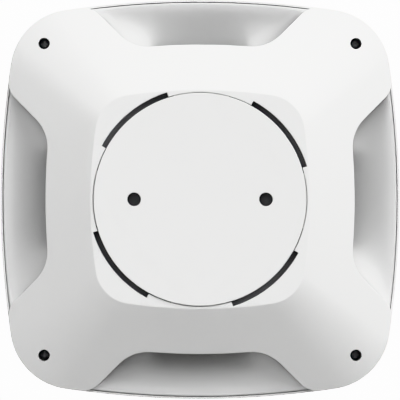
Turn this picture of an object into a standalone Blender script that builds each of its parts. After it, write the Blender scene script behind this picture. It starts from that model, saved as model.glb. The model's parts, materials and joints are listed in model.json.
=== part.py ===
"""Battery smoke detector with a bayonet ceiling bracket, as an assembly of separate closed bodies.

Frame: origin at the middle of the bracket's ceiling face, +Z towards the ceiling, so the detector hangs
below it and its front faces -Z. The four air inlets lie on the +X, +Y, -X and -Y sides and the four case
screws on the diagonals. Lengths below are in millimetres and angles in degrees; meshes are in metres.
"""

import math

import bmesh
import bpy
from mathutils import Matrix, Vector

MM = 0.001

# Outer outline: a rounded square with bowed sides.
CASE_HALF = 66.0
CASE_SIDE_RADIUS = 290.0
CASE_CORNER_RADIUS = 21.2

# Rear cover: a flat rounded square in the middle, then four arms that slope down to the corners.
PLATEAU_HALF = 35.9
PLATEAU_SIDE_RADIUS = 161.7
PLATEAU_CORNER_RADIUS = 12.3
PLATEAU_TOP = -0.4
PLATEAU_THICK = 2.4
SLOPE_DROP = 13.6
COVER_WALL = 2.0
COVER_ROOF = 1.5
COVER_BOTTOM = -15.2
COVER_REACH = -24.0
INLET_EDGE = 50.8
INLET_EDGE_RADIUS = 206.0
ARM_HALF = 19.52
ARM_ROOT_RADIUS = 13.2
ARM_TIP_RADIUS = 8.5
WINDOW_HALF = 16.0
WINDOW_TOP = -9.6

# Bayonet: a round opening with four notches, and the bracket that turns in it.
OPENING_RADIUS = 35.15
NOTCH_RADIUS = 36.7
NOTCH_MIDDLE = 39.3
NOTCH_HALF = 22.2
BRACKET_RADIUS = 34.9
BRACKET_THICK = 2.6
BRACKET_SKIRT = 1.8
BRACKET_BOTTOM = -5.2
TAB_RADIUS = 36.4
TAB_TOP = -3.4
TAB_HALF = 15.0
UNLOCK_TURN = 40.0
TAB_MIDDLE = NOTCH_MIDDLE + 90.0 - UNLOCK_TURN
FIXING_PITCH = 43.2
FIXING_DIAMETER = 4.5

# Seat: the carrier below the bracket that guides the tabs and holds the two rear buttons.
SEAT_TOP = -5.8
SEAT_THICK = 1.6
SEAT_RADIUS = 38.2
SEAT_WALL = 1.2
SEAT_WALL_TOP = -3.9
EAR_PLACE = 40.8
EAR_HALF = 3.0
POST_X = 28.0
POST_Y = 20.0

# Case screws.
SCREW_PLACE = 51.35
SCREW_HOLE = 1.9
SCREW_SEAT = -21.5
REAR_BOSS_RADIUS = 3.6
REAR_BOSS_BOTTOM = -23.0
FRONT_BOSS_RADIUS = 3.4
FRONT_BOSS_TOP = -23.3

# Front cover: (inset from the outer outline, height) of its skin, from the rim towards the middle.
RIM_TOP = -15.5
FRONT_OUTER = ((0.0, RIM_TOP), (0.4, -22.5), (2.6, -27.4), (7.5, -29.9), (20.0, -30.8))
FRONT_INNER = (
    (0.8, RIM_TOP), (0.8, -18.0), (2.0, -18.3), (2.5, -22.3), (4.5, -26.0), (8.7, -28.0), (20.2, -28.8),
)
FRONT_FACE = -31.0
FRONT_WALL = 2.0
FLAT_RADIUS = 36.0
BUTTON_HOLE = 8.8

# Air guide: the ring behind the front cover's rim and its four scoops.
GUIDE_OUTER_INSET = 1.1
GUIDE_LIP_INSET = 1.9
GUIDE_STEP_INSET = 2.2
GUIDE_INNER_INSET = 3.2
GUIDE_RING_BOTTOM = -17.7
GUIDE_THICK = 2.2
SCOOP_DEPTH = 7.2
SCOOP_LIP = 0.12
GUIDE_SHARES = (0.15, 1.0)
SCOOP_FULL_WIDTH = 9.0

# Insect screens behind the inlet windows.
SCREEN_PLACE = 47.5
SCREEN_THICK = 0.6
SCREEN_HALF = 17.5
SCREEN_BOTTOM = -21.3
SCREEN_TOP = -8.8
SCREEN_BARS = 7

# Main board.
BOARD_TOP = -12.0
BOARD_THICK = 1.6
BOARD_RADIUS = 43.5
BOARD_TONGUE_HALF = 11.0
BOARD_TONGUE_END = 49.0
BOARD_BOTTOM = BOARD_TOP - BOARD_THICK
GAP = 0.3

# Smoke chamber and siren, side by side behind the front face.
CHAMBER_Y = 25.0
CHAMBER_RADIUS = 20.0
CHAMBER_BOTTOM = -26.9
CHAMBER_PLATE = 1.2
VANE_COUNT = 14
VANE_RADIUS = 15.6
SIREN_Y = -27.0
SIREN_RADIUS = 16.0
SIREN_BOTTOM = -28.6
SOUND_HOLE_RADIUS = 1.2
SOUND_HOLE_RING = 5.5
SOUND_HOLES = 6

# Cells, lying across the arms at this distance from the middle.
CELL_PLACE = 58.5
CELL_HEIGHT = -19.2
CELL_RADIUS = 7.8
CELL_LENGTH = 27.0
CRADLE_INNER = 50.2
CRADLE_OUTER = 66.7
CRADLE_CHAMFER = 4.0
CRADLE_HALF = 15.6
CRADLE_END = 0.9
CRADLE_BOTTOM = -27.7
COIN_RADIUS = 10.0
COIN_THICK = 3.2
COIN_PLACE = 56.5
COIN_TOP = -17.0

# Buttons: the two rear ones have an (x, y) place, and the test button is on the middle axis.
TEST_RADIUS = 8.4
TEST_FACE = -30.7
TAMPER_PLACE = (0.0, 26.0)
TAMPER_TOP = -2.9
POWER_PLACE = (0.0, -24.0)
POWER_TOP = -4.6
REAR_SWITCH_TOP = -9.9
REAR_SWITCH_HALF = 3.0

ROUND_STEPS = 20
BIG_STEPS = 56
SMALL_STEPS = 10

COLOURS = {
    # name: (red, green, blue), roughness, metallic
    "white_shell": ((0.86, 0.86, 0.85), 0.42, 0.0),
    "grey_guide": ((0.80, 0.80, 0.80), 0.50, 0.0),
    "dark_carrier": ((0.045, 0.045, 0.05), 0.55, 0.0),
    "steel": ((0.62, 0.62, 0.62), 0.30, 1.0),
    "dark_steel": ((0.10, 0.10, 0.11), 0.40, 1.0),
    "spring_bronze": ((0.78, 0.60, 0.34), 0.30, 1.0),
    "board_green": ((0.03, 0.16, 0.07), 0.45, 0.0),
    "black_plastic": ((0.02, 0.02, 0.02), 0.50, 0.0),
    "cell_wrap": ((0.10, 0.12, 0.16), 0.35, 0.0),
    "piezo_brass": ((0.80, 0.64, 0.30), 0.28, 1.0),
    "clear_resin": ((0.75, 0.80, 0.85), 0.10, 0.0),
    "cream_part": ((0.72, 0.66, 0.52), 0.50, 0.0),
}


def clear_scene():
    for obj in list(bpy.data.objects):
        bpy.data.objects.remove(obj)


def make_materials():
    """One Principled material for each entry of COLOURS, by name."""
    made = {}
    for name, (colour, roughness, metallic) in COLOURS.items():
        material = bpy.data.materials.new(name)
        material.use_nodes = True
        shader = material.node_tree.nodes["Principled BSDF"]
        shader.inputs["Base Color"].default_value = (*colour, 1.0)
        shader.inputs["Roughness"].default_value = roughness
        shader.inputs["Metallic"].default_value = metallic
        made[name] = material
    return made


# ---------------------------------------------------------------- modelling helpers


def add_object(name, points, faces):
    """An object from points in millimetres, with its faces turned outwards."""
    mesh = bpy.data.meshes.new(name)
    mesh.from_pydata([Vector(point) * MM for point in points], [], faces)
    skin = bmesh.new()
    skin.from_mesh(mesh)
    bmesh.ops.triangulate(skin, faces=[face for face in skin.faces if len(face.verts) == 4])
    bmesh.ops.recalc_face_normals(skin, faces=skin.faces)
    skin.to_mesh(mesh)
    skin.free()
    obj = bpy.data.objects.new(name, mesh)
    bpy.context.scene.collection.objects.link(obj)
    return obj


def lofted(name, rings, closed):
    """A skin through rings of points, joined end to end as a tube, or closed by a face at each end."""
    count = len(rings[0])
    points = [point for ring in rings for point in ring]
    faces = []
    for ring in range(len(rings) if closed else len(rings) - 1):
        here = ring * count
        there = (ring + 1) % len(rings) * count
        for i in range(count):
            j = (i + 1) % count
            faces.append((here + i, here + j, there + j, there + i))
    if not closed:
        faces.append(tuple(range(count)))
        faces.append(tuple(range(len(points) - count, len(points))))
    return add_object(name, points, faces)


def turned(name, profile, place=(0.0, 0.0), steps=ROUND_STEPS, hollow=False):
    """A body turned about an upright axis from (radius, height) points, capped at both ends or hollow."""
    rings = [at(circle(radius, place, steps), height) for radius, height in profile]
    return lofted(name, rings, closed=hollow)


def cylinder(name, radius, bottom, top, place=(0.0, 0.0), steps=ROUND_STEPS):
    return turned(name, [(radius, top), (radius, bottom)], place, steps)


def prism(name, outline, bottom, top):
    """An upright prism over a flat outline of (x, y)."""
    return lofted(name, [[(x, y, z) for x, y in outline] for z in (bottom, top)], closed=False)


def block(name, low, high):
    outline = [(low[0], low[1]), (high[0], low[1]), (high[0], high[1]), (low[0], high[1])]
    return prism(name, outline, low[2], high[2])


def ring_sector(name, inner, outer, bottom, top, middle, half, steps=6):
    """A curved bar between two radii, over an angle of half each way from middle."""
    angles = [math.radians(middle - half + 2 * half * i / steps) for i in range(steps + 1)]
    outline = [(outer * math.cos(a), outer * math.sin(a)) for a in angles]
    outline += [(inner * math.cos(a), inner * math.sin(a)) for a in reversed(angles)]
    return prism(name, outline, bottom, top)


def combine(target, tools, operation):
    """Boolean each tool into target and remove the tool."""
    for tool in tools:
        modifier = target.modifiers.new("Combine", "BOOLEAN")
        modifier.operation = operation
        modifier.object = tool
        graph = bpy.context.evaluated_depsgraph_get()
        result = bpy.data.meshes.new_from_object(target.evaluated_get(graph))
        target.modifiers.remove(modifier)
        target.data = result
        bpy.data.objects.remove(tool)
    return target


def cut(target, *tools):
    return combine(target, tools, "DIFFERENCE")


def join(target, *tools):
    return combine(target, tools, "UNION")


def turn(obj, angle):
    """Turn a finished piece about the upright axis through the origin."""
    obj.rotation_euler.z = math.radians(angle)
    return obj


def lay_across(obj, distance, height):
    """Lay an upright piece down along local Y, at this distance along local X, before it is combined."""
    for vertex in obj.data.vertices:
        x, y, z = vertex.co
        vertex.co = (x + distance * MM, -z, y + height * MM)
    return obj


def shift(obj, x, y, z=0.0):
    """Move a piece's shape without moving its origin."""
    obj.data.transform(Matrix.Translation(Vector((x, y, z)) * MM))
    return obj


def centre_on(obj, place):
    """Move the object's origin to its own axis without moving its shape."""
    obj.location = Vector((*place, 0.0)) * MM
    return shift(obj, -place[0], -place[1])


def finish(obj, material):
    """Give a piece its material and smooth shading with sharp edges kept."""
    mesh = obj.data
    mesh.name = obj.name
    mesh.materials.clear()
    mesh.materials.append(material)
    for face in mesh.polygons:
        face.material_index = 0
    mesh.shade_smooth()
    mesh.set_sharp_from_angle(angle=math.radians(32))
    return obj


# ---------------------------------------------------------------- outlines


def arc(centre, radius, start, end, steps):
    """Points along an arc between two angles in radians, both ends included."""
    angles = [start + (end - start) * i / steps for i in range(steps + 1)]
    return [(centre[0] + radius * math.cos(a), centre[1] + radius * math.sin(a)) for a in angles]


class RoundedSquare:
    """A square with bowed sides and round corners, every arc running smoothly into the next."""

    def __init__(self, half, side_radius, corner_radius):
        self.side_radius = side_radius
        self.corner_radius = corner_radius
        self.side_centre = half - side_radius
        reach = side_radius - corner_radius
        self.corner = (self.side_centre + math.sqrt(2 * reach**2 - self.side_centre**2)) / 2
        self.turn_angle = math.atan2(self.corner, self.corner - self.side_centre)
        meet = self.corner + corner_radius * math.sin(self.turn_angle)
        self.meet_angle = math.atan2(meet, self.corner + corner_radius * math.cos(self.turn_angle))

    def radius(self, angle):
        """Distance from the middle to the outline along angle."""
        folded = abs((angle + math.pi / 4) % (math.pi / 2) - math.pi / 4)
        cosine = math.cos(folded)
        sine = math.sin(folded)
        if folded <= self.meet_angle:
            return self.side_centre * cosine + math.sqrt(self.side_radius**2 - (self.side_centre * sine) ** 2)
        spread = self.corner * (cosine - sine)
        return self.corner * (cosine + sine) + math.sqrt(self.corner_radius**2 - spread**2)

    def octant(self, side_steps, corner_steps, start=0.0):
        """Outline from the angle start on the side arc, seen from that arc's centre, to the diagonal."""
        side = arc((self.side_centre, 0.0), self.side_radius, start, self.turn_angle, side_steps)
        corner = (self.corner, self.corner)
        return side + arc(corner, self.corner_radius, self.turn_angle, math.pi / 4, corner_steps)[1:]


CASE = RoundedSquare(CASE_HALF, CASE_SIDE_RADIUS, CASE_CORNER_RADIUS)
PLATEAU = RoundedSquare(PLATEAU_HALF, PLATEAU_SIDE_RADIUS, PLATEAU_CORNER_RADIUS)


def eight_fold(octant):
    """The full outline from its stretch between the +X axis and the diagonal."""
    quarter = octant + [(y, x) for x, y in reversed(octant[:-1])][:-1]
    outline = []
    for _ in range(4):
        outline += quarter
        quarter = [(-y, x) for x, y in quarter]
    return outline


def cover_outline():
    """Edge of the rear cover: bowed at the inlets, straight along the arms, round at the tips."""
    diagonal_gap = ARM_HALF * math.sqrt(2)
    edge_centre = INLET_EDGE - INLET_EDGE_RADIUS
    # Root arc: outside the inlet edge, and outside the arm's straight side.
    root_gap = diagonal_gap + ARM_ROOT_RADIUS * math.sqrt(2)
    root_y = meeting(root_gap - edge_centre, INLET_EDGE_RADIUS + ARM_ROOT_RADIUS)
    root = (root_y + root_gap, root_y)
    edge_end = math.atan2(root_y, root[0] - edge_centre)
    # Tip arc: inside the arm's straight side, and inside the case outline.
    tip_gap = diagonal_gap - ARM_TIP_RADIUS * math.sqrt(2)
    tip_y = meeting(tip_gap - CASE.side_centre, CASE_SIDE_RADIUS - ARM_TIP_RADIUS)
    tip = (tip_y + tip_gap, tip_y)
    tip_end = math.atan2(tip_y, tip[0] - CASE.side_centre)
    octant = arc((edge_centre, 0.0), INLET_EDGE_RADIUS, 0.0, edge_end, 1)
    octant += arc(root, ARM_ROOT_RADIUS, math.pi + edge_end, 0.75 * math.pi, 3)[1:]
    octant += arc(tip, ARM_TIP_RADIUS, -math.pi / 4, tip_end, 2)
    octant += CASE.octant(1, 3, tip_end)[1:]
    return eight_fold(octant)


def meeting(offset, distance):
    """y where the point (y + offset, y) lies at this distance from the origin."""
    return (-offset + math.sqrt(2 * distance**2 - offset**2)) / 2


def inset(outline, distance):
    """The outline moved inwards by distance along its own normals."""
    moved = []
    for i, point in enumerate(outline):
        here = Vector(point)
        before = (here - Vector(outline[i - 1])).normalized()
        after = (Vector(outline[(i + 1) % len(outline)]) - here).normalized()
        along = (before + after).normalized()
        inward = Vector((-along.y, along.x))
        moved.append(tuple(here + inward * distance / along.dot(after)))
    return moved


def at(outline, height):
    return [(x, y, height) for x, y in outline]


def on_rays(outline, radius_at):
    """Points on another outline along the same rays from the middle."""
    angles = [math.atan2(y, x) for x, y in outline]
    return [(radius_at(a) * math.cos(a), radius_at(a) * math.sin(a)) for a in angles]


def cover_top(x, y):
    """Height of the rear cover's outer skin: flat on the plateau, then straight down to the case outline."""
    angle = math.atan2(y, x)
    start = PLATEAU.radius(angle)
    share = (math.hypot(x, y) - start) / (CASE.radius(angle) - start)
    return PLATEAU_TOP - SLOPE_DROP * max(share, 0.0)


def draped(outline, lift=0.0):
    """The outline laid on the rear cover's skin, raised by lift."""
    return [(x, y, cover_top(x, y) + lift) for x, y in outline]


def circle(radius, place=(0.0, 0.0), steps=ROUND_STEPS):
    return arc(place, radius, 0.0, math.tau * (steps - 1) / steps, steps - 1)


def corners(distance):
    """The four (x, y) on the diagonals at this distance along each axis."""
    return [(distance * sx, distance * sy) for sx, sy in ((1, 1), (-1, 1), (-1, -1), (1, -1))]


# ---------------------------------------------------------------- housing


def rear_cover():
    edge = cover_outline()
    hole = on_rays(edge, lambda angle: OPENING_RADIUS - 2)
    plateau = on_rays(edge, PLATEAU.radius)
    inner = inset(edge, COVER_WALL)
    cover = lofted(
        "rear_cover",
        [
            at(hole, PLATEAU_TOP),
            at(plateau, PLATEAU_TOP),
            draped(edge),
            at(edge, COVER_REACH),
            at(inner, COVER_REACH),
            draped(inner, -COVER_ROOF),
            at(plateau, PLATEAU_TOP - PLATEAU_THICK),
            at(hole, PLATEAU_TOP - PLATEAU_THICK),
        ],
        closed=True,
    )
    cut(cover, guide_room())
    cut(cover, cylinder("opening", OPENING_RADIUS, -4, 1, steps=BIG_STEPS))
    for quarter in range(4):
        middle = NOTCH_MIDDLE + 90 * quarter
        notch = ring_sector("notch", OPENING_RADIUS - 1, NOTCH_RADIUS, -4, 1, middle, NOTCH_HALF)
        window = block("window", (46, -WINDOW_HALF, COVER_REACH - 1), (54, WINDOW_HALF, WINDOW_TOP))
        turn(window, 90 * quarter)
        cut(cover, notch, window)
    for place in corners(SCREW_PLACE):
        foot = circle(REAR_BOSS_RADIUS, place, SMALL_STEPS)
        boss = lofted("boss", [at(foot, REAR_BOSS_BOTTOM), draped(foot, -COVER_ROOF / 2)], closed=False)
        bore = [(SCREW_HOLE, 0), (SCREW_HOLE, SCREW_SEAT), (1.25, SCREW_SEAT), (1.25, -25)]
        join(cover, boss)
        cut(cover, turned("bore", bore, place, SMALL_STEPS))
    ear_place = EAR_PLACE / math.sqrt(2)
    for place in corners(ear_place):
        join(cover, cylinder("boss", 2.1, SEAT_TOP + GAP, PLATEAU_TOP - 1.2, place, SMALL_STEPS))
        cut(cover, cylinder("pilot", 0.9, SEAT_TOP, -3.0, place, SMALL_STEPS))
    return cover


def guide_room():
    """Everything below the rear cover's lower edge, which stays a gap above the air guide's scoops."""
    edge = cover_outline()
    outer = on_rays(edge, CASE.radius)
    lip = inset(outer, GUIDE_LIP_INSET)
    inner = inset(edge, GUIDE_INNER_INSET)
    around = inset(outer, -1.0)
    lift = RIM_TOP - COVER_BOTTOM
    floor = [scoop_ring(lip, inner, share, lift) for share in GUIDE_SHARES]
    below = COVER_REACH - 1
    rings = [at(around, below), at(around, COVER_BOTTOM), at(lip, COVER_BOTTOM), *floor, at(inner, below)]
    return lofted("guide_room", rings, closed=True)


def scoop_ring(lip, inner, share, drop):
    """Points this share of the way from the guide's lip to its inner edge, on the scoop's floor."""
    ring = []
    for outer_point, inner_point in zip(lip, inner):
        start = Vector(outer_point)
        end = Vector(inner_point)
        width = (end - start).length
        narrow = GUIDE_INNER_INSET - GUIDE_LIP_INSET
        fullness = min(1.0, (width - narrow) / SCOOP_FULL_WIDTH)
        fall = math.hypot(share, SCOOP_LIP) - SCOOP_LIP
        place = start.lerp(end, share)
        ring.append((place.x, place.y, RIM_TOP - SCOOP_DEPTH * fullness * fall - drop))
    return ring


def air_guide():
    edge = cover_outline()
    outer = on_rays(edge, CASE.radius)
    lip = inset(outer, GUIDE_LIP_INSET)
    inner = inset(edge, GUIDE_INNER_INSET)
    top = [scoop_ring(lip, inner, share, 0.0) for share in GUIDE_SHARES]
    underside = [scoop_ring(lip, inner, share, GUIDE_THICK) for share in reversed(GUIDE_SHARES)]
    rim = inset(outer, GUIDE_OUTER_INSET)
    step = inset(outer, GUIDE_STEP_INSET)
    rings = [at(rim, RIM_TOP), at(lip, RIM_TOP), *top, *underside, at(step, GUIDE_RING_BOTTOM)]
    return lofted("air_guide", [*rings, at(rim, GUIDE_RING_BOTTOM)], closed=True)


def front_inner_height(x, y):
    """Height of the front cover's inner skin at a point near a corner."""
    reach = math.hypot(abs(x) - CASE.corner, abs(y) - CASE.corner)
    depth = CASE_CORNER_RADIUS - reach
    for (inset_a, height_a), (inset_b, height_b) in zip(FRONT_INNER[2:], FRONT_INNER[3:]):
        if depth <= inset_b:
            return height_a + (height_b - height_a) * (depth - inset_a) / (inset_b - inset_a)
    return FRONT_INNER[-1][1]


def front_cover():
    outline = eight_fold(CASE.octant(3, 3))
    flat = on_rays(outline, lambda angle: FLAT_RADIUS)
    hole = on_rays(outline, lambda angle: BUTTON_HOLE)
    outer = [at(inset(outline, depth), height) for depth, height in FRONT_OUTER]
    inner = [at(inset(outline, depth), height) for depth, height in reversed(FRONT_INNER)]
    back = FRONT_FACE + FRONT_WALL
    middle = [at(flat, FRONT_FACE), at(hole, FRONT_FACE), at(hole, back), at(flat, back)]
    cover = lofted("front_cover", [*outer, *middle, *inner], closed=True)
    for place in corners(SCREW_PLACE):
        top = circle(FRONT_BOSS_RADIUS, place, SMALL_STEPS)
        foot = [(x, y, front_inner_height(x, y) - FRONT_WALL / 2) for x, y in top]
        join(cover, lofted("boss", [foot, at(top, FRONT_BOSS_TOP)], closed=False))
        cut(cover, cylinder("pilot", 1.3, -28.2, FRONT_BOSS_TOP + 1, place, SMALL_STEPS))
    for i in range(SOUND_HOLES):
        angle = math.tau * i / SOUND_HOLES
        place = (SOUND_HOLE_RING * math.cos(angle), SIREN_Y + SOUND_HOLE_RING * math.sin(angle))
        cut(cover, cylinder("sound_hole", SOUND_HOLE_RADIUS, FRONT_FACE - 1, back + 1, place, 8))
    return cover


def case_screw(name, place):
    """Pan-head screw with a round recess in its head."""
    profile = [(0.8, -20.3), (0.8, -19.7), (1.7, -19.7), (1.7, -21.2), (1.0, -21.2), (1.0, -28.0)]
    return turned(name, profile, place, SMALL_STEPS)


def insect_screen(name):
    """A flat frame with upright bars, across the +X inlet."""
    low = (SCREEN_PLACE - SCREEN_THICK / 2, -SCREEN_HALF, SCREEN_BOTTOM)
    high = (SCREEN_PLACE + SCREEN_THICK / 2, SCREEN_HALF, SCREEN_TOP)
    screen = block(name, low, high)
    border = 1.0
    pitch = (2 * SCREEN_HALF - border) / SCREEN_BARS
    for bar in range(SCREEN_BARS):
        start = -SCREEN_HALF + border + bar * pitch
        slot_low = (low[0] - 1, start, SCREEN_BOTTOM + border)
        slot_high = (high[0] + 1, start + pitch - border, SCREEN_TOP - border)
        cut(screen, block("slot", slot_low, slot_high))
    return screen


# ---------------------------------------------------------------- bracket and seat


def mounting_bracket():
    inner = BRACKET_RADIUS - BRACKET_SKIRT
    bottom = BRACKET_BOTTOM
    profile = [(BRACKET_RADIUS, 0), (BRACKET_RADIUS, bottom), (inner, bottom), (inner, -BRACKET_THICK)]
    bracket = turned("mounting_bracket", profile, steps=BIG_STEPS)
    for quarter in range(4):
        middle = TAB_MIDDLE + 90 * quarter
        join(bracket, ring_sector("tab", inner + 0.6, TAB_RADIUS, bottom + 0.2, TAB_TOP, middle, TAB_HALF))
    for side in (-1, 1):
        place = (side * FIXING_PITCH / 2, 0.0)
        cut(bracket, cylinder("fixing", FIXING_DIAMETER / 2, -4, 1, place, 20))
    return bracket


def bracket_seat():
    floor = SEAT_TOP - SEAT_THICK
    inner = SEAT_RADIUS - SEAT_WALL
    profile = [
        (inner, SEAT_TOP), (inner, SEAT_WALL_TOP), (SEAT_RADIUS, SEAT_WALL_TOP), (SEAT_RADIUS, floor),
    ]
    seat = turned("bracket_seat", profile, steps=BIG_STEPS)
    for quarter in range(4):
        low = (SEAT_RADIUS - 0.5, -EAR_HALF, floor + 0.1)
        high = (EAR_PLACE + 2.2, EAR_HALF, SEAT_TOP)
        ear = turn(block("ear", low, high), 45 + 90 * quarter)
        stop_middle = TAB_MIDDLE - TAB_HALF - 6.0 + 90 * quarter
        stop = ring_sector("stop", BRACKET_RADIUS + 0.4, inner + 0.5, floor + 0.5, -4.0, stop_middle, 5.0, 2)
        join(seat, ear, stop)
    for place in corners(EAR_PLACE / math.sqrt(2)):
        cut(seat, cylinder("ear_hole", 1.1, floor - 1, SEAT_TOP + 1, place, SMALL_STEPS))
    for x, y in corners(1.0):
        place = (x * POST_X, y * POST_Y)
        join(seat, cylinder("post", 2.6, BOARD_TOP + GAP, floor + 0.5, place, SMALL_STEPS))
        cut(seat, cylinder("pilot", 1.2, BOARD_TOP - 1, SEAT_TOP - 0.8, place, SMALL_STEPS))
    cut(seat, cylinder("tamper_bore", 2.4, floor - 1, SEAT_TOP + 1, TAMPER_PLACE, 16))
    cut(seat, cylinder("power_bore", 3.4, floor - 1, SEAT_TOP + 1, POWER_PLACE, 16))
    return seat


def seat_screw(name, place):
    profile = [(0.7, -3.5), (0.7, -7.7), (1.6, -7.7), (1.6, -8.8)]
    return turned(name, profile, place, SMALL_STEPS)


def board_screw(name, place):
    head = BOARD_BOTTOM - GAP
    profile = [(0.9, -7.4), (0.9, head), (2.2, head), (2.2, head - 1.4)]
    return turned(name, profile, place, SMALL_STEPS)


# ---------------------------------------------------------------- electronics


def main_board():
    board = cylinder("main_board", BOARD_RADIUS, BOARD_BOTTOM, BOARD_TOP, steps=BIG_STEPS)
    for quarter in range(4):
        low = (BOARD_RADIUS - 6, -BOARD_TONGUE_HALF, BOARD_BOTTOM)
        high = (BOARD_TONGUE_END, BOARD_TONGUE_HALF, BOARD_TOP)
        join(board, turn(block("tongue", low, high), 45 + 90 * quarter))
    for x, y in corners(1.0):
        place = (x * POST_X, y * POST_Y)
        cut(board, cylinder("screw_hole", 1.3, BOARD_BOTTOM - 1, BOARD_TOP + 1, place, SMALL_STEPS))
    return board


def chamber_base():
    """Plate under the board with the curved vanes of the light trap."""
    top = BOARD_BOTTOM - GAP
    plate = top - CHAMBER_PLATE
    vane_end = CHAMBER_BOTTOM + CHAMBER_PLATE + GAP
    base = cylinder("smoke_chamber_base", CHAMBER_RADIUS, plate, top, steps=32)
    for i in range(VANE_COUNT):
        start = (VANE_RADIUS, 0.0)
        outline = [start, (start[0] + 2.4, 1.8), (start[0] + 2.0, 4.2), (start[0] + 1.2, 4.0)]
        outline += [(start[0] + 1.5, 2.2), (start[0] - 0.3, 0.8)]
        join(base, turn(prism("vane", outline, vane_end, plate + 0.5), 360 * i / VANE_COUNT))
    return shift(base, 0.0, CHAMBER_Y)


def chamber_cap():
    place = (0.0, CHAMBER_Y)
    high = CHAMBER_BOTTOM + CHAMBER_PLATE
    profile = [(CHAMBER_RADIUS, high), (CHAMBER_RADIUS, CHAMBER_BOTTOM)]
    return turned("smoke_chamber_cap", profile, place, 32)


def chamber_screen():
    """Mesh ring round the light trap, with tall slots."""
    place = (0.0, CHAMBER_Y)
    top = BOARD_BOTTOM - 2 * GAP - CHAMBER_PLATE
    bottom = CHAMBER_BOTTOM + CHAMBER_PLATE + GAP
    outer = CHAMBER_RADIUS - 0.1
    inner = outer - 0.7
    profile = [(inner, top), (outer, top), (outer, bottom), (inner, bottom)]
    ring = turned("smoke_chamber_screen", profile, place, 32, hollow=True)
    for i in range(8):
        slot = block("slot", (-30, -1.4, bottom + 1.2), (30, 1.4, top - 1.2))
        slot.rotation_euler.z = math.radians(180 * i / 8 + 5.6)
        slot.location = Vector((0.0, CHAMBER_Y, 0.0)) * MM
        cut(ring, slot)
    return ring


def optic(name, angle):
    """A lamp or receiver in its round body, low in the chamber and aimed at its middle."""
    body = turned(name, [(0.7, 2.7), (1.5, 1.6), (1.5, -2.6)], steps=SMALL_STEPS)
    for vertex in body.data.vertices:
        x, y, z = vertex.co
        vertex.co = (-z, y, x)
    shift(body, 9.6, 0.0, -20.4)
    body.location = Vector((0.0, CHAMBER_Y, 0.0)) * MM
    return turn(body, angle)


def thermistor(name, side):
    """A bead on two stiff leads that hangs from the board's edge beside an inlet."""
    place = (side * 41.0, 0.0)
    top = BOARD_BOTTOM - GAP
    bead = turned(name, [(0.8, -18.5), (1.3, -19.6), (0.8, -20.7)], place, SMALL_STEPS)
    for lead in (-0.7, 0.7):
        low = (place[0] - 0.25, lead - 0.25, -19.6)
        high = (place[0] + 0.25, lead + 0.25, top)
        join(bead, block("lead", low, high))
    bridge = block("bridge", (place[0] - 0.4, -1.2, top - 1.0), (place[0] + 0.4, 1.2, top))
    return join(bead, bridge)


def siren_housing():
    place = (0.0, SIREN_Y)
    top = BOARD_BOTTOM - GAP
    inner = SIREN_RADIUS - 1.5
    profile = [
        (SIREN_RADIUS, top), (SIREN_RADIUS, SIREN_BOTTOM + 2.5), (inner, SIREN_BOTTOM + 2.5), (inner, -23.2),
        (inner - 1.2, -23.2), (inner - 1.2, top - 1.5),
    ]
    return turned("siren_housing", profile, place, 32)


def piezo_disc():
    return cylinder("piezo_disc", 14.2, -24.1, -23.5, (0.0, SIREN_Y), 32)


def siren_cap():
    """Resonator cap with one round port."""
    place = (0.0, SIREN_Y)
    lid = SIREN_BOTTOM + 1.2
    profile = [
        (13.0, lid), (13.0, SIREN_BOTTOM + 4.2), (14.2, SIREN_BOTTOM + 4.2), (14.2, SIREN_BOTTOM + 2.2),
        (SIREN_RADIUS, SIREN_BOTTOM + 2.2), (SIREN_RADIUS, SIREN_BOTTOM),
    ]
    cap = turned("siren_cap", profile, place, 32)
    return cut(cap, cylinder("port", 4.5, SIREN_BOTTOM - 1, lid + 1, place, 16))


def battery_cradle(name, quadrant):
    """Open box with a round trough, its far lower edge sloped to follow the front cover."""
    side = [
        (CRADLE_INNER, CELL_HEIGHT),
        (CRADLE_INNER, CRADLE_BOTTOM),
        (CRADLE_OUTER - CRADLE_CHAMFER, CRADLE_BOTTOM),
        (CRADLE_OUTER, CRADLE_BOTTOM + CRADLE_CHAMFER),
        (CRADLE_OUTER, CELL_HEIGHT),
    ]
    ends = [[(x, y, z) for x, z in side] for y in (-CRADLE_HALF, CRADLE_HALF)]
    cradle = lofted(name, ends, closed=False)
    room = CRADLE_HALF - CRADLE_END
    trough = lay_across(cylinder("trough", CELL_RADIUS + GAP, -room, room), CELL_PLACE, CELL_HEIGHT)
    return turn(cut(cradle, trough), 45 + 90 * quadrant)


def battery(name, quadrant):
    half = CELL_LENGTH / 2
    profile = [(2.6, half), (2.6, half - 0.9), (CELL_RADIUS, half - 0.9), (CELL_RADIUS, -half)]
    cell = lay_across(turned(name, profile), CELL_PLACE, CELL_HEIGHT)
    return turn(cell, 45 + 90 * quadrant)


def battery_contact(name, quadrant, side):
    """Leaf against one end of a cell, with a strap that runs below the board's tongue."""
    near = side * (CELL_LENGTH / 2 + GAP)
    far = side * (CRADLE_HALF - CRADLE_END - GAP)
    across = sorted((near, far))
    leaf = block(name, (CELL_PLACE - 4, across[0], -25.0), (CELL_PLACE + 4, across[1], -14.1))
    strap_across = sorted((side * 9.0, far))
    strap_top = BOARD_BOTTOM - GAP
    strap_bottom = strap_top - 0.6
    strap = block("strap", (46.7, strap_across[0], strap_bottom), (48.9, strap_across[1], strap_top))
    shoulder = block("shoulder", (48.0, across[0], strap_bottom), (CELL_PLACE, across[1], strap_top))
    join(leaf, strap, shoulder)
    return turn(leaf, 45 + 90 * quadrant)


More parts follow.
